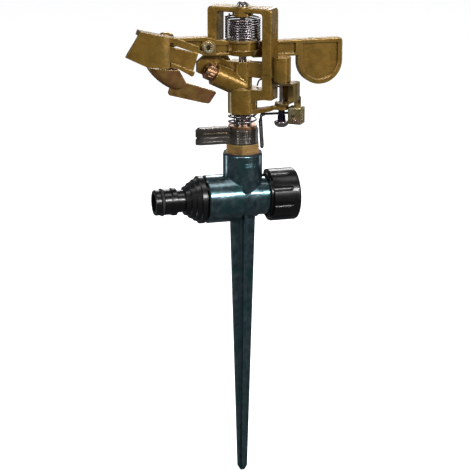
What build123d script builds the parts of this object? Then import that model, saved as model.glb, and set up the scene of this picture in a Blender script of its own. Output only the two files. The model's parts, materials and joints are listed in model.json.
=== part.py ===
"""Part-circle impact sprinkler head on a ground spike.

All sizes are millimetres. +Z is up along the axis the head turns about, the cross
pipe runs along X with the hose nipple toward -X and the end cap toward +X, and
z = 0 is the ground line where the spike meets the cross pipe housing.
"""

import os
from math import cos, radians, sin

from build123d import *

# ---------------------------------------------------------------- ground spike and cross pipe
SPIKE_LENGTH = 171.0
SPIKE_TOP_WIDTH = 16.2
SPIKE_TIP_WIDTH = 6.2
SPIKE_FIN = 2.0
PIPE_Z = 13.0
LEFT_BOSS_R = 15.0
LEFT_BOSS_X0 = -24.6
LEFT_BOSS_X1 = -3.6
CENTRE_R = 13.0
NECK_R = 12.0
NECK_X1 = 16.6
THREAD_R = 13.2
THREAD_X1 = 28.0
STEM_R = 12.25
STEM_TOP_Z = 41.3
STEM_THREAD_BORE_R = 10.5
STEM_THREAD_Z0 = 30.0
STEM_BORE_R = 9.4
NIPPLE_BORE_R = 11.9

# ---------------------------------------------------------------- bearing stack
NUT_GASKET_T = 0.8
NUT_HEX_Z0 = STEM_TOP_Z + NUT_GASKET_T
NUT_HEX_Z1 = 47.9
NUT_ACROSS_FLATS = 20.0
HEX_TURN = 14.0
NUT_SLEEVE_R = 8.4
NUT_SLEEVE_Z1 = 57.3
SPINDLE_R = 5.5
SPINDLE_BORE_R = 4.0
SPINDLE_FLANGE_R = 7.9
SPINDLE_FLANGE_Z0 = 25.6
SPINDLE_FLANGE_Z1 = 27.4
SPINDLE_TOP_Z = 79.5
WASHER_R = 8.9
RUNNING_GAP = 0.06
STOP_RING_R = 9.5
STOP_TAB_R = 30.0
LOWER_STOP_Z0 = 48.0
LOWER_STOP_Z1 = 52.6
UPPER_STOP_Z0 = 52.75
UPPER_STOP_Z1 = 57.2
SPRING_WASHER_Z0 = 57.35
SPRING_WASHER_Z1 = 59.2

# ---------------------------------------------------------------- head casting
COLLAR_R = 9.15
COLLAR_Z0 = 67.0
COLLAR_Z1 = 82.5
POST_R = 5.8
SADDLE_Z = 99.0
BRIDGE_ANGLE = -39.0
BRIDGE_OUT = 21.1
BRIDGE_IN = 14.9
BRIDGE_HALF_T = 6.0
BRIDGE_TOP_Z = 132.4
BRIDGE_BAR_Z = 129.2
PIN_BOSS_R = 6.3
PIN_BOSS_Z0 = 126.8
BARREL_ANGLE = 26.0
BARREL_R = 6.9
BARREL_LENGTH = 20.1
BARREL_START_Z = 82.9
BARREL_BORE_R = 4.3
NOZZLE_SEAT_R = 4.6
NOZZLE_SEAT_DEPTH = 7.0
NOZZLE_OUT = 6.0

# ---------------------------------------------------------------- hammer arm
FULCRUM_R = 1.6
BUSHING_R = 2.6
HUB_R = 8.6
HUB_FLANGE_R = 10.4
HUB_Z0 = 103.0
HUB_Z1 = 112.4
COUNTERWEIGHT_X = 49.2
COUNTERWEIGHT_Z = 97.0
COUNTERWEIGHT_R = 14.5
COUNTERWEIGHT_TOP = 111.0
JET_ANGLE = 25.0
ARM_SPRING_R = 10.35
ARM_SPRING_WIRE = 0.6

# ---------------------------------------------------------------- trip
TRIP_PIN_U = 25.85
TRIP_PIN_R = 1.5


def finish(solid, name, turn=0.0):
    """Turn a finished sub-part about Z if it was drawn in the bridge's frame, and write it."""
    turned = solid.rotate(Axis.Z, turn) if turn else solid
    turned.label = name
    export_step(turned, "parts/" + name + ".step")


def ring(radius, bore, z0, z1):
    """A plain washer or sleeve on the head's axis."""
    with BuildPart() as washer:
        with BuildSketch(Plane.XY.offset(z0)):
            Circle(radius)
            Circle(bore, mode=Mode.SUBTRACT)
        extrude(amount=z1 - z0)
    return washer.part


def cross_plane(x):
    """A plane square to the cross pipe at the given X, looking towards +X."""
    return Plane(origin=(x, 0, PIPE_Z), x_dir=(0, 1, 0), z_dir=(1, 0, 0))


def spike_base():
    """One zinc casting: four-finned spike, cross pipe with its two ends, and the upright stem."""
    with BuildPart() as casting:
        # spike: two crossed tapered fins with a slim core
        for turn in (0, 90):
            fin_plane = Plane.XZ.rotated((0, 0, turn)).offset(-SPIKE_FIN / 2)
            with BuildSketch(fin_plane):
                with BuildLine():
                    Polyline(
                        (-SPIKE_TOP_WIDTH / 2, 4),
                        (SPIKE_TOP_WIDTH / 2, 4),
                        (SPIKE_TIP_WIDTH / 2, -SPIKE_LENGTH + 2.5),
                        (SPIKE_TIP_WIDTH / 4, -SPIKE_LENGTH),
                        (-SPIKE_TIP_WIDTH / 4, -SPIKE_LENGTH),
                        (-SPIKE_TIP_WIDTH / 2, -SPIKE_LENGTH + 2.5),
                        close=True,
                    )
                make_face()
            extrude(amount=SPIKE_FIN)
        with BuildSketch(Plane.XY.offset(4)):
            Circle(3.2)
        with BuildSketch(Plane.XY.offset(-SPIKE_LENGTH + 6)):
            Circle(1.3)
        loft()
        # cross pipe
        with BuildSketch(cross_plane(LEFT_BOSS_X0)):
            Circle(LEFT_BOSS_R)
        extrude(amount=LEFT_BOSS_X1 - LEFT_BOSS_X0)
        with BuildSketch(cross_plane(LEFT_BOSS_X1 - 1)):
            Circle(CENTRE_R)
        extrude(amount=12.5)
        with BuildSketch(cross_plane(0)):
            Circle(NECK_R)
        extrude(amount=NECK_X1)
        with BuildSketch(cross_plane(NECK_X1 - 1)):
            Circle(THREAD_R - 0.9)
        extrude(amount=THREAD_X1 - NECK_X1 + 1)
        # stem
        with BuildSketch(Plane.XY.offset(PIPE_Z)):
            Circle(STEM_R)
        extrude(amount=STEM_TOP_Z - PIPE_Z)
        stem_rim = casting.edges().filter_by(GeomType.CIRCLE).sort_by(Axis.Z)[-1]
        chamfer(stem_rim, 0.5)
        boss_edges = casting.faces().sort_by(Axis.X)[0].edges()
        chamfer(boss_edges, 0.7)
        # thread crests on the capped end
        for i in range(6):
            with BuildSketch(cross_plane(NECK_X1 + 0.9 + i * 1.814)):
                Circle(THREAD_R)
                Circle(THREAD_R - 2, mode=Mode.SUBTRACT)
            extrude(amount=0.9)
        # two raised casting ribs on the front of the stem
        for rib_z in (34.6, 36.0):
            with BuildSketch(Plane.XZ.offset(STEM_R - 0.6)):
                with Locations((1.5, rib_z)):
                    Rectangle(7, 0.6)
            extrude(amount=0.9)
        # waterways
        with BuildSketch(cross_plane(LEFT_BOSS_X0)):
            Circle(NIPPLE_BORE_R)
        extrude(amount=14, mode=Mode.SUBTRACT)
        with BuildSketch(cross_plane(-14)):
            Circle(7.5)
        extrude(amount=THREAD_X1 + 20, mode=Mode.SUBTRACT)
        with BuildSketch(Plane.XY.offset(PIPE_Z)):
            Circle(STEM_BORE_R)
        extrude(amount=STEM_TOP_Z, mode=Mode.SUBTRACT)
        with BuildSketch(Plane.XY.offset(STEM_THREAD_Z0)):
            Circle(STEM_THREAD_BORE_R)
        extrude(amount=STEM_TOP_Z, mode=Mode.SUBTRACT)
    return casting.part


def hose_nipple():
    """Snap-on hose nipple, turned about the cross pipe's axis, open right through."""
    profile = [
        (-57.0, 5.6),
        (-57.0, 7.6),
        (-56.3, 8.0),
        (-53.6, 8.0),
        (-53.6, 6.9),
        (-51.2, 6.9),
        (-51.2, 8.0),
        (-47.0, 8.0),
        (-46.0, 8.65),
        (-43.4, 8.65),
        (-42.8, 7.05),
        (-38.6, 7.05),
        (-38.1, 8.9),
        (-35.4, 9.7),
        (-35.1, 11.0),
        (-32.4, 11.9),
        (-32.1, 12.9),
        (-29.4, 13.6),
        (-29.1, 14.9),
        (-26.2, 14.9),
        (-26.2, 11.75),
        (-12.2, 11.75),
        (-12.2, 7.6),
        (-30.0, 5.6),
    ]
    with BuildPart() as nipple:
        with BuildSketch(Plane.XZ):
            with BuildLine():
                Polyline([(x, PIPE_Z + r) for x, r in profile], close=True)
            make_face()
        revolve(axis=Axis((0, 0, PIPE_Z), (1, 0, 0)))
    return nipple.part


def cross_ring(outer, inner, x0, x1):
    """A flat ring around the cross pipe's axis."""
    with BuildPart() as gasket:
        with BuildSketch(cross_plane(x0)):
            Circle(outer)
            Circle(inner, mode=Mode.SUBTRACT)
        extrude(amount=x1 - x0)
    return gasket.part


def nipple_o_ring():
    with BuildPart() as seal:
        with BuildSketch(Plane.XZ):
            with Locations((-52.4, PIPE_Z + 7.85)):
                Circle(0.9)
        revolve(axis=Axis((0, 0, PIPE_Z), (1, 0, 0)))
    return seal.part


def end_cap():
    """Threaded cap with axial finger flutes, closed at its outer end."""
    x0 = 15.0
    x1 = 34.0
    with BuildPart() as cap:
        with BuildSketch(cross_plane(x0)):
            Circle(14.2)
        extrude(amount=2.6)
        with BuildSketch(cross_plane(x0 + 1.6)):
            Circle(16.4)
        extrude(amount=x1 - x0 - 1.6)
        outer_rim = cap.faces().sort_by(Axis.X)[-1].edges()
        fillet(outer_rim, 1.8)
        lip = cap.faces().sort_by(Axis.X)[0].edges()
        chamfer(lip, 0.5)
        # flutes, open towards the pipe and round at the outer end
        for i in range(10):
            around = radians(i * 36 + 10)
            spot = (x0 + 1.5, 17.6 * cos(around), PIPE_Z + 17.6 * sin(around))
            flute_plane = Plane(origin=spot, x_dir=(0, -sin(around), cos(around)), z_dir=(1, 0, 0))
            with BuildSketch(flute_plane):
                Circle(2.2)
            extrude(amount=10.5, mode=Mode.SUBTRACT)
            tip = (x0 + 12.0, 17.6 * cos(around), PIPE_Z + 17.6 * sin(around))
            with Locations(tip):
                Sphere(2.2, mode=Mode.SUBTRACT)
        # one bore from the mouth to the gasket seat, clear of the pipe's thread
        with BuildSketch(cross_plane(x0 - 1)):
            Circle(THREAD_R + 0.12)
        extrude(amount=16.7, mode=Mode.SUBTRACT)
    return cap.part


def bearing_nut():
    """Brass bearing nut: hexagon, male thread into the stem, sleeve for the stop collars."""
    with BuildPart() as nut:
        with BuildSketch(Plane.XY.offset(NUT_HEX_Z0)):
            RegularPolygon(NUT_ACROSS_FLATS / 2, 6, major_radius=False, rotation=HEX_TURN)
        extrude(amount=NUT_HEX_Z1 - NUT_HEX_Z0)
        with BuildSketch(Plane.XY.offset(NUT_HEX_Z0 - 1)):
            Circle(11.35)
        extrude(amount=NUT_HEX_Z1 - NUT_HEX_Z0 + 2, mode=Mode.INTERSECT)
        with BuildSketch(Plane.XY.offset(STEM_THREAD_Z0)):
            Circle(STEM_THREAD_BORE_R - 0.08)
        extrude(amount=NUT_HEX_Z0 - STEM_THREAD_Z0)
        with BuildSketch(Plane.XY.offset(NUT_HEX_Z1)):
            Circle(NUT_SLEEVE_R)
        extrude(amount=NUT_SLEEVE_Z1 - NUT_HEX_Z1)
        with BuildSketch(Plane.XY.offset(STEM_THREAD_Z0)):
            Circle(SPINDLE_R + RUNNING_GAP)
        extrude(amount=NUT_SLEEVE_Z1 - STEM_THREAD_Z0, mode=Mode.SUBTRACT)
    return nut.part


def sector_stop(z0, z1, tab_top):
    """Sprung steel collar clamped round the nut's sleeve, with a folded finger tab."""
    with BuildPart() as stop:
        with BuildSketch(Plane.XY.offset(z0)):
            Circle(STOP_RING_R)
        extrude(amount=z1 - z0)
        # three fine ridges round the collar
        for share in (0.2, 0.5, 0.8):
            with BuildSketch(Plane.XY.offset(z0 + (z1 - z0) * share - 0.3)):
                Circle(STOP_RING_R + 0.2)
            extrude(amount=0.6)
        with BuildSketch(Plane.XY.offset(z0)):
            with BuildLine():
                Polyline(
                    (-6, 3.0),
                    (-STOP_TAB_R + 2.5, 2.6),
                    (-STOP_TAB_R, 1.0),
                    (-STOP_TAB_R, -1.0),
                    (-STOP_TAB_R + 2.5, -2.6),
                    (-6, -3.0),
                    close=True,
                )
            make_face()
        extrude(amount=tab_top - z0)
        # chamfer the tab's outer end and fold lines along its flanks
        with BuildSketch(Plane.XZ.offset(-4)):
            with BuildLine():
                Polyline(
                    (-STOP_TAB_R - 1, tab_top + 0.01),
                    (-STOP_TAB_R - 1, tab_top - 1.8),
                    (-STOP_TAB_R + 2.4, tab_top + 0.01),
                    close=True,
                )
            make_face()
        extrude(amount=8, mode=Mode.SUBTRACT)
        for side in (1, -1):
            with BuildSketch(Plane.XY.offset(z0 + (tab_top - z0) * 0.42)):
                with Locations((-18.5, side * 2.95)):
                    Rectangle(15.5, 1.0)
            extrude(amount=0.8, mode=Mode.SUBTRACT)
        with BuildSketch(Plane.XY.offset(z0 - 1)):
            Circle(NUT_SLEEVE_R + RUNNING_GAP)
        extrude(amount=tab_top - z0 + 2, mode=Mode.SUBTRACT)
        # above the collar the tab stays clear of the washer
        with BuildSketch(Plane.XY.offset(z1)):
            Circle(STOP_RING_R + 0.25)
        extrude(amount=tab_top - z1 + 1, mode=Mode.SUBTRACT)
        # split opposite the tab
        with BuildSketch(Plane.XY.offset(z0 - 1)):
            with Locations((9, 3)):
                Rectangle(4, 1.0)
        extrude(amount=z1 - z0 + 2, mode=Mode.SUBTRACT)
    return stop.part


A = radians(BRIDGE_ANGLE)
BRIDGE_PLANE = Plane(origin=(0, 0, 0), x_dir=(cos(A), sin(A), 0), z_dir=(sin(A), -cos(A), 0))
PIN_X = TRIP_PIN_U * cos(A)
PIN_Y = TRIP_PIN_U * sin(A)
BETA = radians(BARREL_ANGLE)
BARREL_DIR = Vector(-cos(BETA), 0, sin(BETA))
BARREL_START = Vector(0, 0, BARREL_START_Z)


def barrel_plane(distance):
    """A plane square to the barrel, at a distance along it from the head's axis."""
    spot = BARREL_START + BARREL_DIR * distance
    return Plane(origin=spot, x_dir=(0, 1, 0), z_dir=BARREL_DIR)


def bridge_frame():
    """The upright window frame that carries the fulcrum pin."""
    with BuildPart() as frame:
        with BuildSketch(BRIDGE_PLANE):
            with Locations((0, (BRIDGE_TOP_Z + 92) / 2)):
                RectangleRounded(2 * BRIDGE_OUT, BRIDGE_TOP_Z - 92, 2.4)
            with Locations((0, (BRIDGE_BAR_Z + 88) / 2)):
                RectangleRounded(2 * BRIDGE_IN, BRIDGE_BAR_Z - 88, 1.6, mode=Mode.SUBTRACT)
        extrude(amount=BRIDGE_HALF_T, both=True)
        long_edges = frame.faces().sort_by(Axis((0, 0, 0), (sin(A), -cos(A), 0)))
        fillet(long_edges[-1].edges() + long_edges[0].edges(), 0.8)
    return frame.part


def head_body():
    """Head casting: collar, post, bridge, barrel, lugs and trip boss, with the waterway inside."""
    frame = bridge_frame()
    with BuildPart() as head:
        add(frame)
        # collar and post
        with BuildSketch(Plane.XY.offset(COLLAR_Z0)):
            Circle(COLLAR_R)
        extrude(amount=COLLAR_Z1 - COLLAR_Z0)
        with BuildSketch(Plane.XY.offset(COLLAR_Z1 - 1)):
            Circle(POST_R)
        extrude(amount=SADDLE_Z - COLLAR_Z1 + 1)
        # saddle across the bridge's foot, thick on the post and thin on the trip side
        with BuildSketch(BRIDGE_PLANE):
            with BuildLine():
                Polyline(
                    (-BRIDGE_OUT, 96),
                    (-BRIDGE_OUT + 1.5, 91),
                    (-12, 88),
                    (-3, 88),
                    (-3, SADDLE_Z),
                    (-8, SADDLE_Z),
                    (-15.5, SADDLE_Z + 3),
                    (-BRIDGE_OUT, SADDLE_Z + 3),
                    close=True,
                )
            make_face()
        extrude(amount=4.5, both=True)
        with BuildSketch(BRIDGE_PLANE):
            with BuildLine():
                Polyline(
                    (0, 90),
                    (16, 89.2),
                    (16, SADDLE_Z + 2.6),
                    (13, SADDLE_Z),
                    (0, SADDLE_Z),
                    close=True,
                )
            make_face()
        extrude(amount=2.6, both=True)
        # trip-side column down to the upper lug
        with BuildSketch(BRIDGE_PLANE):
            with Locations(((BRIDGE_IN + BRIDGE_OUT) / 2, (96 + 77) / 2)):
                Rectangle(BRIDGE_OUT - BRIDGE_IN, 96 - 77)
        extrude(amount=BRIDGE_HALF_T - 0.6, both=True)
        with BuildSketch(BRIDGE_PLANE):
            with BuildLine():
                Polyline(
                    (4, COLLAR_Z1),
                    (BRIDGE_OUT, COLLAR_Z1),
                    (BRIDGE_OUT, 76.6),
                    (16, 76.6),
                    (10.5, 75.6),
                    (8, 73.6),
                    (4, 73.6),
                    close=True,
                )
            make_face()
        extrude(amount=5.4, both=True)
        # lower lug: a thin strap rising to the shelf that the trip pin passes through
        with BuildSketch(BRIDGE_PLANE):
            with BuildLine():
                Polyline(
                    (5, COLLAR_Z0),
                    (9, COLLAR_Z0),
                    (20, 69.6),
                    (23, 71.0),
                    (TRIP_PIN_U, 71.0),
                    (TRIP_PIN_U, 73.3),
                    (21.5, 73.3),
                    (18, 71.8),
                    (8.5, 69.8),
                    (5, 69.8),
                    close=True,
                )
            make_face()
        extrude(amount=4.2, both=True)
        with BuildSketch(Plane.XY.offset(71.0)):
            with Locations((PIN_X, PIN_Y)):
                Circle(4.4)
        extrude(amount=2.3)
        # trip boss on the column's outer face
        with BuildSketch(Plane.XY.offset(88.3)):
            with Locations((PIN_X, PIN_Y)):
                Circle(5.5)
        extrude(amount=14.9)
        with BuildSketch(BRIDGE_PLANE):
            with Locations(((18 + TRIP_PIN_U) / 2, 96.2)):
                Rectangle(TRIP_PIN_U - 18, 13.0)
        extrude(amount=3.6, both=True)
        # boss for the fulcrum pin
        with BuildSketch(Plane.XY.offset(PIN_BOSS_Z0)):
            Circle(PIN_BOSS_R)
        extrude(amount=BRIDGE_TOP_Z - PIN_BOSS_Z0 + 0.4)
        # barrel
        with BuildSketch(barrel_plane(0)):
            Circle(BARREL_R)
        extrude(amount=BARREL_LENGTH)
        # web that ties the far column to the side of the barrel
        with BuildSketch(Plane.XZ.offset(-9.2)):
            with BuildLine():
                Polyline(
                    (-27.2, 92.0),
                    (-27.2, 98.4),
                    (-20.0, 104.5),
                    (-12.0, 107.0),
                    (-6.0, 99.0),
                    (-4.0, 86.0),
                    (-12.0, 84.6),
                    close=True,
                )
            make_face()
        extrude(amount=4.0)
        # tidy any barrel material that would cross the collar's underside
        with BuildSketch(Plane.XY.offset(COLLAR_Z0 - 12)):
            Circle(40)
        extrude(amount=12, mode=Mode.SUBTRACT)
        # waterway: spindle socket, riser, barrel, nozzle seat
        with BuildSketch(Plane.XY.offset(COLLAR_Z0)):
            Circle(SPINDLE_R + 0.01)
        extrude(amount=SPINDLE_TOP_Z - COLLAR_Z0 + 0.2, mode=Mode.SUBTRACT)
        with BuildSketch(Plane.XY.offset(SPINDLE_TOP_Z)):
            Circle(SPINDLE_BORE_R)
        extrude(amount=4.5, mode=Mode.SUBTRACT)
        with BuildSketch(barrel_plane(-1.5)):
            Circle(BARREL_BORE_R)
        extrude(amount=BARREL_LENGTH + 2, mode=Mode.SUBTRACT)
        with BuildSketch(barrel_plane(BARREL_LENGTH - NOZZLE_SEAT_DEPTH)):
            Circle(NOZZLE_SEAT_R)
        extrude(amount=NOZZLE_SEAT_DEPTH + 1, mode=Mode.SUBTRACT)
        # pin holes
        with BuildSketch(Plane.XY.offset(93.0)):
            Circle(FULCRUM_R + 0.01)
        extrude(amount=45, mode=Mode.SUBTRACT)
        with BuildSketch(Plane.XY.offset(70.0)):
            with Locations((PIN_X, PIN_Y)):
                Circle(TRIP_PIN_R + 0.01)
        extrude(amount=28.0, mode=Mode.SUBTRACT)
    return head.part


def spindle_tube():
    """Flanged brass tube that carries the head and brings the water up."""
    with BuildPart() as tube:
        with BuildSketch(Plane.XY.offset(SPINDLE_FLANGE_Z0)):
            Circle(SPINDLE_R)
        extrude(amount=SPINDLE_TOP_Z - SPINDLE_FLANGE_Z0)
        with BuildSketch(Plane.XY.offset(SPINDLE_FLANGE_Z0)):
            Circle(SPINDLE_FLANGE_R)
        extrude(amount=SPINDLE_FLANGE_Z1 - SPINDLE_FLANGE_Z0)
        with BuildSketch(Plane.XY.offset(SPINDLE_FLANGE_Z0)):
            Circle(SPINDLE_BORE_R)
        extrude(amount=SPINDLE_TOP_Z, mode=Mode.SUBTRACT)
    return tube.part


def nozzle():
    """Brass nozzle: knurled collar, threaded stem in the barrel and a tapering jet bore."""
    stem_back = BARREL_LENGTH - NOZZLE_SEAT_DEPTH + 0.2
    with BuildPart() as jet:
        with BuildSketch(barrel_plane(stem_back)):
            Circle(NOZZLE_SEAT_R - 0.01)
        extrude(amount=NOZZLE_SEAT_DEPTH)
        with BuildSketch(barrel_plane(BARREL_LENGTH + 0.02)):
            Circle(5.1)
        extrude(amount=NOZZLE_OUT - 0.6)
        with BuildSketch(barrel_plane(BARREL_LENGTH + NOZZLE_OUT - 0.7)):
            Circle(4.4)
        extrude(amount=0.7)
        # knurl
        for i in range(16):
            around = radians(i * 22.5)
            knurl_plane = barrel_plane(BARREL_LENGTH + 1.2)
            with BuildSketch(knurl_plane):
                with Locations((5.3 * cos(around), 5.3 * sin(around))):
                    Circle(0.55)
            extrude(amount=3.2, mode=Mode.SUBTRACT)
        with BuildSketch(barrel_plane(stem_back - 0.1)):
            Circle(3.6)
        with BuildSketch(barrel_plane(BARREL_LENGTH + NOZZLE_OUT + 0.1)):
            Circle(2.2)
        loft(mode=Mode.SUBTRACT)
    return jet.part


def bent_wire(points, radius, bend):
    """Round wire along straight runs joined by bends."""
    with BuildPart() as wire:
        with BuildLine() as route:
            FilletPolyline(*points, radius=bend)
        with BuildSketch(Plane(origin=route.line @ 0, z_dir=route.line % 0)):
            Circle(radius)
        sweep(path=route.line)
    return wire.part


def coil(mean_radius, wire_radius, z0, height, pitch, start_angle):
    """A coil spring on the head's axis."""
    with BuildPart() as spring:
        with BuildLine() as route:
            Helix(pitch=pitch, height=height, radius=mean_radius, center=(0, 0, z0))
        with BuildSketch(Plane(origin=route.line @ 0, z_dir=route.line % 0)):
            Circle(wire_radius)
        sweep(path=route.line, is_frenet=True)
    return spring.part.rotate(Axis.Z, start_angle)


def arm_spring():
    """Torsion spring between the bridge's top bar and the arm."""
    turns = 9.0
    height = 13.0
    return coil(ARM_SPRING_R, ARM_SPRING_WIRE, HUB_Z1 + 0.65, height, height / turns, 164.0)


def fulcrum_pin():
    """Steel pin the arm swings on, with a domed head on top of the bridge."""
    with BuildPart() as pin:
        with BuildSketch(Plane.XY.offset(93.2)):
            Circle(FULCRUM_R)
        extrude(amount=BRIDGE_TOP_Z + 0.45 - 93.2)
        with BuildSketch(Plane.XZ):
            with BuildLine():
                Polyline(
                    (0, BRIDGE_TOP_Z + 0.42),
                    (3.7, BRIDGE_TOP_Z + 0.42),
                    (3.6, BRIDGE_TOP_Z + 1.3),
                    (2.9, BRIDGE_TOP_Z + 2.5),
                    (1.6, BRIDGE_TOP_Z + 3.2),
                    (0, BRIDGE_TOP_Z + 3.4),
                    close=True,
                )
            make_face()
        revolve(axis=Axis.Z)
    return pin.part


def counterweight():
    """D-shaped weight with a raised rim, and the recessed beam that carries it."""
    top = COUNTERWEIGHT_TOP
    cx = COUNTERWEIGHT_X
    cz = COUNTERWEIGHT_Z
    cr = COUNTERWEIGHT_R
    with BuildPart() as weight:
        with BuildSketch(Plane.XZ):
            with BuildLine():
                Polyline((6, top), (6, 101.0), (cx - cr, 101.0), (cx - cr, cz))
                ThreePointArc((cx - cr, cz), (cx, cz - cr), (cx + cr, cz))
                Line((cx + cr, cz), (cx + cr, top - 2.2))
                ThreePointArc((cx + cr, top - 2.2), (cx + cr - 0.644, top - 0.644), (cx + cr - 2.2, top))
                Line((cx + cr - 2.2, top), (6, top))
            make_face()
        extrude(amount=3.0, both=True)
        rims = weight.faces().sort_by(Axis.Y)
        chamfer(rims[-1].edges() + rims[0].edges(), 0.5)
        for side in (1, -1):
            recess_plane = Plane.XZ.offset(side * 3.0)
            with BuildSketch(recess_plane):
                with Locations((cx, cz)):
                    Circle(cr - 2.9)
                with Locations((cx, (cz + top - 2.6) / 2)):
                    Rectangle(2 * (cr - 2.9), top - 2.6 - cz)
            extrude(amount=-side * 1.5, mode=Mode.SUBTRACT)
            with BuildSketch(recess_plane):
                with Locations((27.1, 105.9)):
                    RectangleRounded(12.2, 6.4, 0.5)
            extrude(amount=-side * 1.6, mode=Mode.SUBTRACT)
    return weight.part


def hub_core():
    """Plain hub cylinder that the two beams grow from."""
    with BuildPart() as core:
        with BuildSketch(Plane.XY.offset(HUB_Z0)):
            Circle(HUB_R)
        extrude(amount=HUB_Z1 - HUB_Z0)
    return core.part


def left_beam():
    """Ribbed beam between the hub and the spoon."""
    with BuildPart() as beam:
        with BuildSketch(Plane.XZ):
            with BuildLine():
                Polyline(
                    (-6, 112.0),
                    (-17, 113.0),
                    (-23.7, 115.0),
                    (-42.0, 115.2),
                    (-43.0, 112.8),
                    (-36.5, 110.6),
                    (-28.8, 105.6),
                    (-25.6, 104.0),
                    (-6, 103.0),
                    close=True,
                )
            make_face()
        extrude(amount=3.0, both=True)
        for side in (1, -1):
            recess_plane = Plane.XZ.offset(side * 3.0)
            with BuildSketch(recess_plane):
                with BuildLine():
                    Polyline(
                        (-26.2, 106.4),
                        (-26.2, 112.8),
                        (-37.0, 113.2),
                        (-35.0, 111.6),
                        close=True,
                    )
                make_face()
            extrude(amount=-side * 1.7, mode=Mode.SUBTRACT)
            with BuildSketch(recess_plane):
                with Locations((-13.8, 107.2)):
                    RectangleRounded(8.0, 5.2, 0.4)
            extrude(amount=-side * 1.5, mode=Mode.SUBTRACT)
        with BuildSketch(Plane.XZ):
            with Locations((-22.4, 108.7)):
                Circle(4.1)
        extrude(amount=3.3, both=True)
    return beam.part


def hammer_arm():
    """Cast hammer arm: hub, ribbed beam, D-shaped counterweight and the spoon that meets the jet."""
    casting = counterweight() + hub_core() + left_beam()
    # outer panel, curved in plan so that it crosses the jet
    panel = extrude(outer_panel_outline(), amount=14, dir=(0, -1, 0))
    panel = panel & curved_wall(-56.0, 17.6, 26.3, 2.3)
    # cheek that joins the curved panel's top to the roof slab
    cheek = extrude(cheek_outline(), amount=12, dir=(0, -1, 0))
    cheek = cheek & filled_wall(-56.0, 17.6, 26.3)
    with BuildPart() as arm:
        add(casting)
        # rims at the top and the foot of the hub
        with BuildSketch(Plane.XY.offset(HUB_Z1 - 1.3)):
            Circle(HUB_FLANGE_R)
        extrude(amount=1.3)
        with BuildSketch(Plane.XY.offset(HUB_Z0)):
            Circle(HUB_R)
        with BuildSketch(Plane.XY.offset(HUB_Z0 + 3.4)):
            Circle(HUB_FLANGE_R)
        loft()
        # pad that strikes the bridge column
        with BuildSketch(Plane.XY.offset(104.6)):
            with Locations((-15.2, 3.4)):
                Rectangle(3.2, 2.2)
        extrude(amount=6.4)
        # spoon: roof slab over the jet
        with BuildSketch(Plane.XZ.offset(-2.6)):
            with BuildLine():
                Polyline(
                    (-65.4, 120.9),
                    (-42.0, 115.2),
                    (-28.4, 109.4),
                    (-28.9, 105.2),
                    (-42.5, 110.4),
                    (-66.4, 118.0),
                    close=True,
                )
            make_face()
        extrude(amount=6.4)
        add(panel)
        add(cheek)
        # inner panel beside the jet, with the ledge along its foot
        with BuildSketch(Plane.XZ.offset(2.0)):
            with BuildLine():
                Polyline(
                    (-51.0, 111.8),
                    (-29.1, 105.4),
                    (-32.2, 95.2),
                    (-41.0, 97.6),
                    (-51.0, 99.6),
                    close=True,
                )
            make_face()
        extrude(amount=2.0)
        with BuildSketch(Plane.XZ.offset(2.0)):
            with BuildLine():
                Polyline(
                    (-47.0, 101.2),
                    (-32.0, 94.9),
                    (-32.6, 92.6),
                    (-34.0, 92.0),
                    (-42.2, 97.0),
                    (-47.0, 98.2),
                    close=True,
                )
            make_face()
        extrude(amount=4.6)
        # post for the rivet, behind the jet
        with BuildSketch(Plane.XY.offset(96.8)):
            with Locations((-46.2, 8.0)):
                Circle(4.8)
        extrude(amount=17.7)
        with BuildSketch(Plane.XY.offset(109.6)):
            with Locations((-46.4, 3.6)):
                Rectangle(8.4, 7.4)
        extrude(amount=3.9)
        # holes: bushing, eyelet, rivet
        with BuildSketch(Plane.XY.offset(HUB_Z0 - 1)):
            Circle(BUSHING_R + 0.01)
        extrude(amount=12, mode=Mode.SUBTRACT)
        with BuildSketch(Plane.XZ):
            with Locations((-22.4, 108.7)):
                Circle(2.61)
        extrude(amount=6, both=True, mode=Mode.SUBTRACT)
        with BuildSketch(Plane.XY.offset(90)):
            with Locations((-46.2, 8.0)):
                Circle(1.61)
        extrude(amount=30, mode=Mode.SUBTRACT)
    return arm.part


def outer_panel_outline():
    """Side outline of the spoon's outer panel."""
    with BuildSketch(Plane.XZ) as outline:
        with BuildLine():
            Polyline(
                (-65.2, 120.8),
                (-73.6, 104.7),
                (-61.7, 99.2),
                (-47.6, 97.6),
                (-47.6, 112.0),
                (-47.6, 116.4),
                close=True,
            )
        make_face()
    return outline.sketch


def cheek_outline():
    """Side outline of the filler between the curved panel and the roof slab."""
    with BuildSketch(Plane.XZ) as outline:
        with BuildLine():
            Polyline(
                (-65.4, 120.9),
                (-45.0, 115.9),
                (-44.0, 112.6),
                (-66.4, 118.0),
                close=True,
            )
        make_face()
    return outline.sketch


def curved_wall(centre_x, centre_y, outer_r, thickness):
    """An upright wall that follows a circle in plan."""
    with BuildPart() as wall:
        with BuildSketch(Plane.XY.offset(90)):
            with Locations((centre_x, centre_y)):
                Circle(outer_r)
                Circle(outer_r - thickness, mode=Mode.SUBTRACT)
        extrude(amount=40)
    return wall.part


def filled_wall(centre_x, centre_y, outer_r):
    """The space inside the same circle."""
    with BuildPart() as space:
        with BuildSketch(Plane.XY.offset(90)):
            with Locations((centre_x, centre_y)):
                Circle(outer_r)
        extrude(amount=40)
    return space.part


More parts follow.
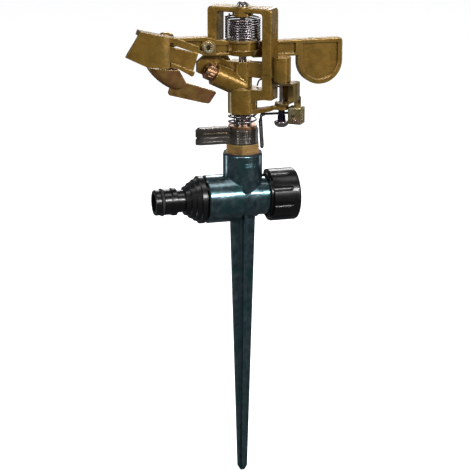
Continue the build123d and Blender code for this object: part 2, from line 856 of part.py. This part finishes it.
def arm_eyelet():
    """Brass tubular rivet clinched through the beam, open at the front and closed at the back."""
    with BuildPart() as eyelet:
        with BuildSketch(Plane.XZ):
            with Locations((-22.4, 108.7)):
                Circle(2.6)
        extrude(amount=3.8, both=True)
        for y in (-3.9, 3.35):
            with BuildSketch(Plane.XZ.offset(-y)):
                with Locations((-22.4, 108.7)):
                    Circle(3.45)
            extrude(amount=-0.55)
        with BuildSketch(Plane.XZ.offset(5)):
            with Locations((-22.4, 108.7)):
                Circle(1.8)
        extrude(amount=-8, mode=Mode.SUBTRACT)
    return eyelet.part


def spoon_scoop():
    """The cupped end of the drive spoon, open at the back and the top."""
    with BuildPart() as cup:
        with BuildSketch(Plane.XZ.offset(1.0)):
            with BuildLine():
                Polyline((-46.6, 84.9), (-39.5, 85.6), (-37.6, 88.6), (-41.8, 96.3), (-61.0, 98.5))
                ThreePointArc((-61.0, 98.5), (-54.6, 90.4), (-46.6, 84.9))
            make_face()
        extrude(amount=6.6)
        front = cup.faces().sort_by(Axis.Y)[0]
        rounded = front.edges().filter_by(GeomType.CIRCLE)
        fillet(rounded, 4.2)
        with BuildSketch(Plane.XZ.offset(1.0)):
            with BuildLine():
                Polyline((-46.2, 87.2), (-40.6, 87.4), (-39.9, 88.8), (-43.4, 99.0), (-58.2, 99.0))
                ThreePointArc((-58.2, 99.0), (-52.8, 92.0), (-46.2, 87.2))
            make_face()
        extrude(amount=4.9, mode=Mode.SUBTRACT)
    return cup.part


def drive_spoon():
    """Pressed bronze drive spoon: cup, long flat tail and the ear the rivet passes through."""
    scoop = spoon_scoop()
    with BuildPart() as spoon:
        add(scoop)
        with BuildSketch(Plane.XZ.offset(3.0)):
            with BuildLine():
                Polyline(
                    (-46.8, 86.6),
                    (-48.3, 82.4),
                    (-47.6, 80.9),
                    (-27.2, 75.3),
                    (-23.4, 74.5),
                    (-22.2, 74.9),
                    (-18.0, 80.9),
                    (-18.7, 81.8),
                    (-37.4, 88.2),
                    close=True,
                )
            make_face()
        extrude(amount=1.8)
        with BuildSketch(Plane.XY.offset(95.2)):
            with Locations((-46.2, 8.0)):
                Circle(4.8)
            with Locations((-46.2, 1.0)):
                Rectangle(7.0, 14.0)
        extrude(amount=1.55)
        with BuildSketch(Plane.XY.offset(90)):
            with Locations((-46.2, 8.0)):
                Circle(1.61)
        extrude(amount=10, mode=Mode.SUBTRACT)
    return spoon.part


def spoon_rivet():
    """Domed rivet that holds the spoon to the arm."""
    with BuildPart() as rivet:
        with BuildSketch(Plane.XZ):
            with BuildLine():
                Polyline(
                    (0, 93.8),
                    (2.6, 93.8),
                    (2.6, 95.18),
                    (1.6, 95.18),
                    (1.6, 114.52),
                    (4.7, 114.52),
                    (4.5, 115.6),
                    (3.6, 116.7),
                    (2.0, 117.4),
                    (0, 117.6),
                    close=True,
                )
            make_face()
        revolve(axis=Axis.Z)
    return rivet.part.translate((-46.2, 8.0, 0))


def at_pin(solid):
    """Move a sub-part drawn about Z to the trip pin's axis in the bridge's frame."""
    return solid.translate((TRIP_PIN_U, 0, 0))


def trip_pin():
    """Screw-headed pin the trip turns on, entered from below."""
    with BuildPart() as pin:
        with BuildSketch(Plane.XY.offset(62.0)):
            Circle(TRIP_PIN_R)
        extrude(amount=97.5 - 62.0)
        with BuildSketch(Plane.XZ):
            with BuildLine():
                Polyline(
                    (0, 59.9),
                    (2.6, 60.1),
                    (4.0, 61.0),
                    (4.5, 62.2),
                    (4.5, 63.3),
                    (3.9, 63.7),
                    (0, 63.7),
                    close=True,
                )
            make_face()
        revolve(axis=Axis.Z)
        with BuildSketch(Plane.XY.offset(59.5)):
            Rectangle(6.0, 1.0)
        extrude(amount=1.4, mode=Mode.SUBTRACT)
    return at_pin(pin.part)


def trip_sleeve():
    """Spacer sleeve between the pin's head and the lower lug."""
    with BuildPart() as sleeve:
        with BuildSketch(Plane.XY.offset(63.75)):
            Circle(2.45)
        extrude(amount=3.5)
        with BuildSketch(Plane.XY.offset(67.2)):
            Circle(2.0)
        extrude(amount=3.75)
        with BuildSketch(Plane.XY.offset(63)):
            Circle(TRIP_PIN_R + 0.01)
        extrude(amount=9, mode=Mode.SUBTRACT)
    return at_pin(sleeve.part)


def trip_bracket():
    """C-shaped trip bracket that turns on the trip pin between the boss and the lower lug."""
    with BuildPart() as bracket:
        with BuildSketch(Plane.XY.offset(73.5)):
            Circle(4.2)
            with Locations((4.2, 0)):
                RectangleRounded(13.6, 10.4, 3.6)
        extrude(amount=88.1 - 73.5)
        # hollow between the top and bottom plates, open on both sides of the wall
        with BuildSketch(Plane.XY.offset(75.2)):
            Circle(4.4)
            with Locations((2.6, -1.6)):
                Rectangle(13.2, 10.8)
        extrude(amount=86.6 - 75.2, mode=Mode.SUBTRACT)
        # slanted underside
        with BuildSketch(Plane.XZ):
            with BuildLine():
                Polyline((3.0, 73.0), (13.0, 73.0), (13.0, 78.4), close=True)
            make_face()
        extrude(amount=10, both=True, mode=Mode.SUBTRACT)
        # tab that the clamp block hangs on
        with BuildSketch(Plane.XY.offset(72.0)):
            with Locations((9.1, 3.4)):
                Rectangle(4.0, 1.6)
        extrude(amount=7.0)
        with BuildSketch(Plane.XY.offset(70)):
            Circle(TRIP_PIN_R + RUNNING_GAP)
        extrude(amount=20, mode=Mode.SUBTRACT)
    return at_pin(bracket.part)


def clamp_block():
    """Zinc-plated block that clamps the trip wire to the bracket."""
    with BuildPart() as block:
        with BuildSketch(Plane.XY.offset(62.6)):
            with Locations((9.4, 0.6)):
                Rectangle(9.0, 8.0)
        extrude(amount=10.6)
        vertical = block.edges().filter_by(Axis.Z)
        fillet(vertical, 1.4)
        rims = block.faces().filter_by(Plane.XY)
        chamfer(rims.edges(), 0.6)
        # grooves down the outer side
        for y in (-1.8, 0.2, 2.2):
            with BuildSketch(Plane.XY.offset(60)):
                with Locations((14.1, y)):
                    Circle(0.75)
            extrude(amount=15, mode=Mode.SUBTRACT)
        # slot for the bracket's tab, hole for the wire, hole for the screw
        with BuildSketch(Plane.XY.offset(71.95)):
            with Locations((9.1, 3.4)):
                Rectangle(4.04, 1.64)
        extrude(amount=3.0, mode=Mode.SUBTRACT)
        with BuildSketch(Plane.XZ):
            with Locations((8.7, 68.4)):
                Circle(0.81)
        extrude(amount=12, both=True, mode=Mode.SUBTRACT)
        with BuildSketch(Plane.XZ.offset(3.5)):
            with Locations((9.2, 64.8)):
                Circle(1.25)
        extrude(amount=-6.0, mode=Mode.SUBTRACT)
    return at_pin(block.part)


def clamp_screw():
    """Cross-recessed screw in the front of the clamp block."""
    with BuildPart() as screw:
        with BuildSketch(Plane.XZ.offset(3.45)):
            with Locations((9.2, 64.8)):
                Circle(1.85)
        extrude(amount=1.0)
        with BuildSketch(Plane.XZ.offset(3.5)):
            with Locations((9.2, 64.8)):
                Circle(1.24)
        extrude(amount=-5.4)
        with BuildSketch(Plane.XZ.offset(4.0)):
            with Locations((9.2, 64.8)):
                Rectangle(2.4, 0.5)
                Rectangle(0.5, 2.4)
        extrude(amount=1.0, mode=Mode.SUBTRACT)
    return at_pin(screw.part)


def trip_wire():
    """Trip wire: through the clamp block, behind the pin, then a hairpin leg past the stops."""
    return bent_wire(
        [
            (TRIP_PIN_U + 8.7, -4.9, 68.4),
            (TRIP_PIN_U + 8.7, 6.6, 68.4),
            (TRIP_PIN_U, 5.8, 67.4),
            (11.7, 1.15, 66.4),
            (13.1, 1.15, 45.9),
            (13.1, -1.15, 45.9),
            (11.9, -1.15, 62.4),
            (13.4, -1.9, 66.2),
            (15.0, -0.9, 66.9),
        ],
        0.78,
        1.05,
    )


def toggle_spring():
    """Bent wire spring that snaps the trip from one side to the other."""
    return bent_wire(
        [
            (7.6, 5.0, 83.0),
            (8.2, 6.2, 86.2),
            (13.0, 8.0, 87.4),
            (16.5, 8.6, 84.4),
            (22.0, 8.4, 82.6),
            (TRIP_PIN_U + 2.0, 6.4, 82.0),
        ],
        0.5,
        1.2,
    )


os.makedirs("parts", exist_ok=True)

# ground spike, cross pipe and bearing stack
finish(spike_base(), "spike_base")
finish(hose_nipple(), "hose_nipple")
finish(nipple_o_ring(), "nipple_o_ring")
finish(cross_ring(11.6, 8.6, -12.1, -10.7), "nipple_gasket")
finish(end_cap(), "end_cap")
finish(cross_ring(13.1, 8.2, 28.5, 30.6), "cap_gasket")
finish(bearing_nut(), "bearing_nut")
finish(ring(STEM_R - 0.3, STEM_THREAD_BORE_R + 0.02, STEM_TOP_Z, NUT_HEX_Z0), "nut_gasket")
finish(ring(9.0, SPINDLE_R + RUNNING_GAP, 27.45, 28.15), "thrust_washer_lower")
finish(ring(9.2, SPINDLE_R + RUNNING_GAP, 28.15, 29.25), "seal_washer")
finish(ring(9.0, SPINDLE_R + RUNNING_GAP, 29.25, 29.95), "thrust_washer_upper")
finish(ring(WASHER_R, SPINDLE_R + RUNNING_GAP, SPRING_WASHER_Z0, SPRING_WASHER_Z1), "spring_washer")
finish(sector_stop(LOWER_STOP_Z0, LOWER_STOP_Z1, LOWER_STOP_Z1), "lower_sector_stop")
finish(sector_stop(UPPER_STOP_Z0, UPPER_STOP_Z1, UPPER_STOP_Z1 + 1.3), "upper_sector_stop")

# head
finish(head_body(), "head_body")
finish(spindle_tube(), "spindle_tube")
finish(coil(8.5, 0.6, SPRING_WASHER_Z1 + 0.65, 6.5, 3.4, 40.0), "bearing_spring")
finish(nozzle(), "nozzle")
finish(fulcrum_pin(), "fulcrum_pin")
finish(ring(2.35, FULCRUM_R + 0.02, SADDLE_Z, HUB_Z0 - 0.1), "arm_spacer")
finish(arm_spring(), "arm_spring")

# hammer arm
finish(hammer_arm(), "hammer_arm")
finish(ring(BUSHING_R, FULCRUM_R + RUNNING_GAP, HUB_Z0, HUB_Z1), "arm_bushing")
finish(arm_eyelet(), "arm_eyelet")
finish(drive_spoon(), "drive_spoon")
finish(spoon_rivet(), "spoon_rivet")

# trip
finish(trip_pin(), "trip_pin", BRIDGE_ANGLE)
finish(trip_sleeve(), "trip_sleeve", BRIDGE_ANGLE)
finish(trip_bracket(), "trip_bracket", BRIDGE_ANGLE)
finish(trip_wire(), "trip_wire", BRIDGE_ANGLE)
finish(clamp_block(), "clamp_block", BRIDGE_ANGLE)
finish(clamp_screw(), "clamp_screw", BRIDGE_ANGLE)
finish(toggle_spring(), "toggle_spring", BRIDGE_ANGLE)
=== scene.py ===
"""Looks for the part-circle impact sprinkler: materials, wire springs, light and camera."""

import bpy
import bmesh
import json
import math
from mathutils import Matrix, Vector


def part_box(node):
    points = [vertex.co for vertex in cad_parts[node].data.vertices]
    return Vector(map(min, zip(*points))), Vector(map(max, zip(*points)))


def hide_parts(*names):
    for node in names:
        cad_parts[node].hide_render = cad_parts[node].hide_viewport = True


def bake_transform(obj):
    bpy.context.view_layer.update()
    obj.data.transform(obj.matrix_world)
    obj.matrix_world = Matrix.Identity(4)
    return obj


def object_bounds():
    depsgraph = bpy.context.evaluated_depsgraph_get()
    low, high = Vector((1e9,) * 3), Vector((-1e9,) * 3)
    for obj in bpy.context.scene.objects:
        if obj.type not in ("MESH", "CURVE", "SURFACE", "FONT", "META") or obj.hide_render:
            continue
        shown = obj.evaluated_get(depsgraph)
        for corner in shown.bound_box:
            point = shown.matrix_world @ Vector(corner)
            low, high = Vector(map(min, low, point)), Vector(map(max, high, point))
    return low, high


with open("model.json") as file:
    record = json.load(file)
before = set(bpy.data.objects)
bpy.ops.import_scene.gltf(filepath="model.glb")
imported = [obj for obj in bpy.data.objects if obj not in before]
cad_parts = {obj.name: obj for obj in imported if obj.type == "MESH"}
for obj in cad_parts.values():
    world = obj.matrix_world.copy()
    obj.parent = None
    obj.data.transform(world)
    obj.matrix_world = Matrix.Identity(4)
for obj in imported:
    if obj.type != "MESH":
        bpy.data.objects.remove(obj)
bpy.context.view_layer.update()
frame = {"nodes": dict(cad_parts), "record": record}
nodes = frame["nodes"]
MM = 0.001

# view of the object, with the camera level turned by VIEW_AZIMUTH and tipped down
VIEW_AZIMUTH = math.radians(-16)
VIEW_DOWN = math.radians(15.9)
CAMERA_AT = (-0.2961, -1.0156, 0.2893)
CAMERA_LENS = 133.7
CAMERA_SENSOR = 36
CAMERA_REACH = 50

# what every finish shares
COAT_ROUGHNESS = 0.08
RELIEF_DEPTH = 0.25 * MM
# painted shade in holes and corners: how far it reaches and its darkest colour
PAINTED_SHADE_REACH = 2.2 * MM
PAINTED_SHADE_COLOUR = (0.12, 0.11, 0.10)
PATCH_SCALE = 0.35
ROUGH_LOW = 0.75
ROUGH_HIGH = 1.3
BLACK = (0, 0, 0)
WHITE = (1, 1, 1)
WORN_FULL = (0.75, 0.75, 0.75)

# ------------------------------------------------------------------ materials


def add_node(tree, kind, **inputs):
    """A shader node with its sockets set by name."""
    node = tree.nodes.new(kind)
    for key, value in inputs.items():
        node.inputs[key.replace("_", " ")].default_value = value
    return node


def ramp(tree, source, low, high, low_at=0.3, high_at=0.7):
    """A two-colour ramp fed by a node output."""
    node = tree.nodes.new("ShaderNodeValToRGB")
    first, last = node.color_ramp.elements
    first.position = low_at
    last.position = high_at
    first.color = (*low, 1)
    last.color = (*high, 1)
    tree.links.new(source, node.inputs["Fac"])
    return node


def mix_colour(tree, factor, a, b, how="MIX"):
    """A colour mix whose inputs are node outputs; no factor means the whole of it."""
    node = tree.nodes.new("ShaderNodeMix")
    node.data_type = "RGBA"
    node.blend_type = how
    if factor is None:
        node.inputs[0].default_value = 1.0
    else:
        tree.links.new(factor, node.inputs[0])
    tree.links.new(a, node.inputs[6])
    tree.links.new(b, node.inputs[7])
    return node.outputs[2]


def finish_material(
    name,
    dark,
    light,
    metallic,
    rough,
    grain=900.0,
    bump=0.15,
    mottle=120.0,
    coat=0.0,
    stretch=(1, 1, 1),
    tint=None,
    wear=None,
    seed=0.0,
    soft=0.4,
):
    """Mottled colour, uneven roughness and a fine surface grain, with optional tint and wear, and
    painted shade in holes and corners.
    """
    material = bpy.data.materials.new(name)
    material.use_nodes = True
    tree = material.node_tree
    shader = tree.nodes["Principled BSDF"]
    shader.inputs["Metallic"].default_value = metallic
    shader.inputs["Coat Weight"].default_value = coat
    shader.inputs["Coat Roughness"].default_value = COAT_ROUGHNESS
    coords = tree.nodes.new("ShaderNodeTexCoord")
    mapping = tree.nodes.new("ShaderNodeMapping")
    mapping.inputs["Scale"].default_value = stretch
    mapping.inputs["Location"].default_value = (seed, seed * 0.7, seed * 1.3)
    tree.links.new(coords.outputs["Object"], mapping.inputs["Vector"])
    where = mapping.outputs["Vector"]
    broad = add_node(tree, "ShaderNodeTexNoise", Scale=mottle, Detail=4.0, Roughness=0.6)
    fine = add_node(tree, "ShaderNodeTexNoise", Scale=grain, Detail=3.0, Roughness=0.55)
    tree.links.new(where, broad.inputs["Vector"])
    tree.links.new(where, fine.inputs["Vector"])
    colour = ramp(tree, broad.outputs["Fac"], dark, light).outputs["Color"]
    if tint:
        patch = add_node(tree, "ShaderNodeTexNoise", Scale=mottle * PATCH_SCALE, Detail=2.0)
        tree.links.new(where, patch.inputs["Vector"])
        gate = ramp(tree, patch.outputs["Fac"], BLACK, WHITE, 0.5, 0.72)
        tinted = tree.nodes.new("ShaderNodeRGB")
        tinted.outputs[0].default_value = (*tint, 1)
        colour = mix_colour(tree, gate.outputs["Color"], colour, tinted.outputs[0])
    # edges are rounded in shading, and worn where the rounding turns the surface
    rounded = tree.nodes.new("ShaderNodeBevel")
    rounded.samples = 4
    rounded.inputs["Radius"].default_value = soft * MM
    if wear:
        geometry = tree.nodes.new("ShaderNodeNewGeometry")
        facing = tree.nodes.new("ShaderNodeVectorMath")
        facing.operation = "DOT_PRODUCT"
        tree.links.new(geometry.outputs["Normal"], facing.inputs[0])
        tree.links.new(rounded.outputs["Normal"], facing.inputs[1])
        edge = ramp(tree, facing.outputs["Value"], WORN_FULL, BLACK, 0.88, 0.995)
        worn = tree.nodes.new("ShaderNodeRGB")
        worn.outputs[0].default_value = (*wear, 1)
        colour = mix_colour(tree, edge.outputs["Color"], colour, worn.outputs[0])
    # painted shade: the colour is darkened in holes, corners and the gaps between parts, where shade
    # falls
    cavity_occlusion = tree.nodes.new("ShaderNodeAmbientOcclusion")
    cavity_occlusion.samples = 6
    cavity_occlusion.inputs["Distance"].default_value = PAINTED_SHADE_REACH
    painted_shade = ramp(tree, cavity_occlusion.outputs["AO"], PAINTED_SHADE_COLOUR, WHITE, 0.28, 0.75)
    colour = mix_colour(tree, None, colour, painted_shade.outputs["Color"], "MULTIPLY")
    tree.links.new(colour, shader.inputs["Base Color"])
    spread = tree.nodes.new("ShaderNodeMapRange")
    spread.inputs["To Min"].default_value = rough * ROUGH_LOW
    spread.inputs["To Max"].default_value = rough * ROUGH_HIGH
    tree.links.new(broad.outputs["Fac"], spread.inputs["Value"])
    tree.links.new(spread.outputs["Result"], shader.inputs["Roughness"])
    relief = add_node(tree, "ShaderNodeBump", Strength=bump, Distance=RELIEF_DEPTH)
    tree.links.new(fine.outputs["Fac"], relief.inputs["Height"])
    tree.links.new(rounded.outputs["Normal"], relief.inputs["Normal"])
    tree.links.new(relief.outputs["Normal"], shader.inputs["Normal"])
    return material


LOOKS = {
    "olive_gold": finish_material(
        "olive_gold_lacquer", (0.195, 0.104, 0.015), (0.30, 0.168, 0.028), 0.5, 0.27,
        grain=620, bump=0.4, mottle=170, coat=0.3, tint=(0.19, 0.115, 0.018),
        wear=(0.72, 0.50, 0.20), soft=0.55,
    ),
    "zinc_spike": finish_material(
        "blue_green_cast_zinc", (0.03, 0.06, 0.072), (0.13, 0.20, 0.225), 0.85, 0.22,
        grain=420, bump=0.5, mottle=260, coat=0.7, tint=(0.03, 0.11, 0.11), seed=3.0,
        wear=(0.14, 0.30, 0.34), soft=0.6,
    ),
    "black_plastic": finish_material(
        "gloss_black_plastic", (0.003, 0.003, 0.003), (0.006, 0.006, 0.006), 0.0, 0.24,
        grain=1400, bump=0.12, mottle=80, coat=0.0, seed=5.0,
    ),
    "seal_rubber": finish_material(
        "black_seal_rubber", (0.012, 0.012, 0.012), (0.03, 0.03, 0.03), 0.0, 0.6,
        grain=1800, bump=0.2, mottle=300, seed=7.0,
    ),
    "nut_brass": finish_material(
        "machined_brass", (0.30, 0.165, 0.05), (0.50, 0.30, 0.11), 0.6, 0.36,
        grain=900, bump=0.2, mottle=180, stretch=(1, 1, 2.5), tint=(0.45, 0.36, 0.10),
        wear=(0.85, 0.66, 0.38), seed=9.0,
    ),
    "white_nylon": finish_material(
        "white_nylon", (0.66, 0.65, 0.60), (0.78, 0.77, 0.72), 0.0, 0.5,
        grain=1600, bump=0.1, mottle=200, seed=11.0,
    ),
    "copper_brass": finish_material(
        "coppery_brass", (0.22, 0.105, 0.045), (0.48, 0.26, 0.14), 0.9, 0.28,
        grain=1200, bump=0.18, mottle=240, wear=(0.8, 0.55, 0.35), seed=13.0,
    ),
    "dark_chrome": finish_material(
        "dark_plated_steel", (0.11, 0.10, 0.095), (0.34, 0.31, 0.28), 0.95, 0.2,
        grain=330, bump=0.3, mottle=260, stretch=(0.12, 0.12, 3), tint=(0.16, 0.13, 0.09), seed=15.0,
    ),
    "spindle_steel": finish_material(
        "bright_pin_steel", (0.42, 0.36, 0.34), (0.70, 0.62, 0.60), 1.0, 0.18,
        grain=1400, bump=0.1, mottle=260, stretch=(1, 1, 3), seed=17.0,
    ),
    "spring_steel": finish_material(
        "spring_wire", (0.15, 0.13, 0.135), (0.36, 0.32, 0.33), 1.0, 0.22,
        grain=900, bump=0.04, mottle=420, seed=19.0,
    ),
    "eyelet_brass": finish_material(
        "pale_brass", (0.50, 0.40, 0.22), (0.74, 0.64, 0.42), 0.9, 0.26,
        grain=1400, bump=0.15, mottle=320, seed=21.0,
    ),
    "spoon_bronze": finish_material(
        "polished_bronze", (0.24, 0.125, 0.03), (0.46, 0.27, 0.08), 0.75, 0.22,
        grain=800, bump=0.35, mottle=230, tint=(0.30, 0.11, 0.07), seed=23.0,
        wear=(0.7, 0.5, 0.25), soft=0.5,
    ),
    "sleeve_dark": finish_material(
        "blued_steel", (0.035, 0.025, 0.05), (0.10, 0.075, 0.14), 1.0, 0.24,
        grain=1500, bump=0.1, mottle=300, seed=25.0,
    ),
    "bracket_bronze": finish_material(
        "olive_bronze_lacquer", (0.115, 0.075, 0.02), (0.24, 0.16, 0.05), 0.75, 0.3,
        grain=800, bump=0.22, mottle=130, coat=0.3, wear=(0.45, 0.34, 0.15), seed=27.0,
    ),
    "zinc_yellow": finish_material(
        "yellow_zinc_plate", (0.34, 0.25, 0.09), (0.66, 0.56, 0.30), 0.9, 0.24,
        grain=900, bump=0.05, mottle=200, tint=(0.50, 0.32, 0.30), seed=29.0,
    ),
    "black_wire": finish_material(
        "blackened_wire", (0.012, 0.012, 0.013), (0.04, 0.04, 0.042), 0.8, 0.34,
        grain=1800, bump=0.12, mottle=400, seed=31.0,
    ),
}

slot_of = {entry["node"]: entry["material_slot"] for entry in frame["record"]["subparts"]}
for node_name, node_object in nodes.items():
    node_object.data.materials.clear()
    node_object.data.materials.append(LOOKS[slot_of[node_name]])


# ------------------------------------------------------------------ wire springs


def wire_mesh(name, points, radius, look, node):
    """Smooth round wire through control points, as a mesh that stands for a CAD node."""
    curve = bpy.data.curves.new(name + "_line", "CURVE")
    curve.dimensions = "3D"
    curve.bevel_depth = radius
    curve.bevel_resolution = 3
    curve.resolution_u = 3
    curve.use_fill_caps = True
    spline = curve.splines.new("NURBS")
    spline.points.add(len(points) - 1)
    for spot, point in zip(spline.points, points):
        spot.co = (*point, 1)
    spline.order_u = 3
    spline.use_endpoint_u = True
    drawn = bpy.data.objects.new(name + "_line", curve)
    bpy.context.collection.objects.link(drawn)
    bpy.context.view_layer.update()
    mesh = bpy.data.meshes.new_from_object(drawn)
    bpy.data.objects.remove(drawn)
    for face in mesh.polygons:
        face.use_smooth = True
    mesh.name = name
    piece = bpy.data.objects.new(name, mesh)
    bpy.context.collection.objects.link(piece)
    mesh.materials.clear()
    mesh.materials.append(LOOKS[look])
    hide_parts(node)
    return piece


def around_axis(radius, degrees, height):
    """Point at a radius and angle about the head's axis."""
    angle = math.radians(degrees)
    return Vector((radius * math.cos(angle), radius * math.sin(angle), height))


# torsion spring: low hook beside the hub, coil, and a top hook up to the bridge's bar
spring_low, spring_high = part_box("arm_spring")
WIRE_R = 0.6 * MM
COIL_R = (spring_high[0] - spring_low[0]) / 2 - WIRE_R
COIL_START = -25.0
COIL_TURNS = 8.6
STEPS_PER_TURN = 24
coil_low = spring_low[2] + WIRE_R
coil_high = spring_high[2] - WIRE_R
# the smooth line runs inside its control points by this share of their radius
LINE_SHARE = 0.9915
control_r = COIL_R / LINE_SHARE
spring_path = [
    around_axis(COIL_R + 0.9 * MM, COIL_START - 19, coil_low - 4.8 * MM),
    around_axis(COIL_R + 1.0 * MM, COIL_START - 18, coil_low - 2.6 * MM),
    around_axis(COIL_R + 0.9 * MM, COIL_START - 16, coil_low - 0.4 * MM),
    around_axis(COIL_R + 0.4 * MM, COIL_START - 9, coil_low),
]
steps = round(COIL_TURNS * STEPS_PER_TURN)
for step in range(steps + 1):
    share = step / steps
    height = coil_low + share * (coil_high - coil_low)
    spring_path.append(around_axis(control_r, COIL_START + share * COIL_TURNS * 360, height))
coil_end = COIL_START + COIL_TURNS * 360
spring_path.append(around_axis(COIL_R, coil_end + 7, coil_high + 0.3 * MM))
spring_path.append(around_axis(COIL_R - 0.2 * MM, coil_end + 10, coil_high + 1.4 * MM))
spring_path.append(around_axis(COIL_R - 0.2 * MM, coil_end + 10, coil_high + 3.0 * MM))
arm_coil = wire_mesh("arm_torsion_spring", spring_path, WIRE_R, "spring_steel", "arm_spring")
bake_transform(arm_coil)

# trip's wire spring: held in the head at one end and in the bracket at the other
BRIDGE_TURN = math.radians(-39)
TOGGLE_WIRE_R = 0.5 * MM
# points in the bridge's own frame, in millimetres: along it, across it, and up
TOGGLE_POINTS = (
    (7.6, 5.0, 83.0),
    (7.8, 5.6, 84.8),
    (8.4, 6.4, 86.6),
    (10.6, 7.4, 87.4),
    (13.4, 8.2, 86.8),
    (15.4, 8.5, 85.2),
    (17.4, 8.6, 83.9),
    (22.0, 8.4, 82.6),
    (25.2, 7.4, 82.2),
    (27.85, 6.4, 82.0),
)
toggle_path = []
for u, v, z in TOGGLE_POINTS:
    along = u * math.cos(BRIDGE_TURN) - v * math.sin(BRIDGE_TURN)
    across = u * math.sin(BRIDGE_TURN) + v * math.cos(BRIDGE_TURN)
    toggle_path.append(Vector((along, across, z)) * MM)
toggle = wire_mesh("trip_toggle_spring", toggle_path, TOGGLE_WIRE_R, "black_wire", "toggle_spring")
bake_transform(toggle)

# ------------------------------------------------------------------ floor, light, camera


FLOOR_GAP = 0.5 * MM
FLAT_RADIUS = 3.0
BEND_RADIUS = 2.0
BEND_STEPS = 12
WALL_HEIGHT = 7.0
SEGMENTS = 72
FLOOR_GLOW = 0.85


def pale_bowl():
    """Round pale floor that curves up into a wall on every side."""
    low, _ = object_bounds()
    floor_z = low[2] - FLOOR_GAP
    mesh = bpy.data.meshes.new("floor_bowl")
    work = bmesh.new()
    profile = [(FLAT_RADIUS, 0.0)]
    for step in range(1, BEND_STEPS + 1):
        bend = math.radians(90 * step / BEND_STEPS)
        reach = FLAT_RADIUS + BEND_RADIUS * math.sin(bend)
        profile.append((reach, BEND_RADIUS - BEND_RADIUS * math.cos(bend)))
    profile.append((FLAT_RADIUS + BEND_RADIUS, WALL_HEIGHT))
    rings = []
    for radius, height in profile:
        ring = []
        for i in range(SEGMENTS):
            around = 2 * math.pi * i / SEGMENTS
            spot = (radius * math.cos(around), radius * math.sin(around), floor_z + height)
            ring.append(work.verts.new(spot))
        rings.append(ring)
    work.faces.new(rings[0])
    for near, far in zip(rings, rings[1:]):
        for i in range(SEGMENTS):
            j = (i + 1) % SEGMENTS
            work.faces.new((near[j], near[i], far[i], far[j]))
    work.to_mesh(mesh)
    work.free()
    for face in mesh.polygons:
        face.use_smooth = True
    floor = bpy.data.objects.new("floor_bowl", mesh)
    bpy.context.collection.objects.link(floor)
    material = finish_material(
        "pale_floor", (0.90, 0.90, 0.90), (0.93, 0.93, 0.93), 0.0, 0.8,
        grain=40, bump=0.0, mottle=2,
    )
    shader = material.node_tree.nodes["Principled BSDF"]
    shader.inputs["Emission Color"].default_value = (1, 1, 1, 1)
    shader.inputs["Emission Strength"].default_value = FLOOR_GLOW
    floor.data.materials.append(material)
    # the photograph's background is blank, so the floor neither reflects nor bounces light
    floor.visible_glossy = False
    floor.visible_diffuse = False


pale_bowl()


def area_light(name, spot, size, power, aim=(0, 0, 0.03), colour=(1, 1, 1)):
    """Soft rectangular light aimed at the object."""
    light = bpy.data.lights.new(name, "AREA")
    light.shape = "RECTANGLE"
    light.size = size[0]
    light.size_y = size[1]
    light.energy = power
    light.color = colour
    lamp = bpy.data.objects.new(name, light)
    lamp.location = spot
    lamp.rotation_euler = (Vector(aim) - Vector(spot)).to_track_quat("-Z", "Y").to_euler()
    bpy.context.collection.objects.link(lamp)


COOL = (0.8, 0.93, 1.0)
# name, place, width and height, watts
area_light("front_strip", (0.27, -0.92, 0.52), (0.55, 0.06), 9, aim=(0, 0, 0.02))
area_light("key_left", (-0.95, -0.75, 0.6), (0.2, 0.7), 6.5)
area_light("fill_right", (0.75, -0.95, 0.3), (0.1, 0.8), 2.4)
area_light("top_soft", (0.0, -0.2, 1.2), (0.8, 0.4), 3.5)
area_light("rim_left", (-0.75, 0.55, 0.0), (0.14, 1.3), 2.6, colour=COOL)
area_light("rim_right", (0.95, 0.3, 0.0), (0.12, 1.3), 1.2, colour=COOL)
area_light("back_soft", (0.35, 1.0, 0.55), (0.5, 0.3), 3.5)

world = bpy.data.worlds.new("studio")
bpy.context.scene.world = world
world.use_nodes = True
sky = world.node_tree.nodes["Background"]
sky.inputs["Color"].default_value = (0.9, 0.93, 1.0, 1)
sky.inputs["Strength"].default_value = 0.1

camera_data = bpy.data.cameras.new("camera")
camera = bpy.data.objects.new("camera", camera_data)
bpy.context.collection.objects.link(camera)
camera_data.sensor_width = CAMERA_SENSOR
camera_data.lens = CAMERA_LENS
camera_data.clip_end = CAMERA_REACH
camera.location = CAMERA_AT
camera.rotation_euler = (math.radians(90) - VIEW_DOWN, 0, VIEW_AZIMUTH)
bpy.context.scene.camera = camera
bpy.context.scene.view_settings.view_transform = "Standard"
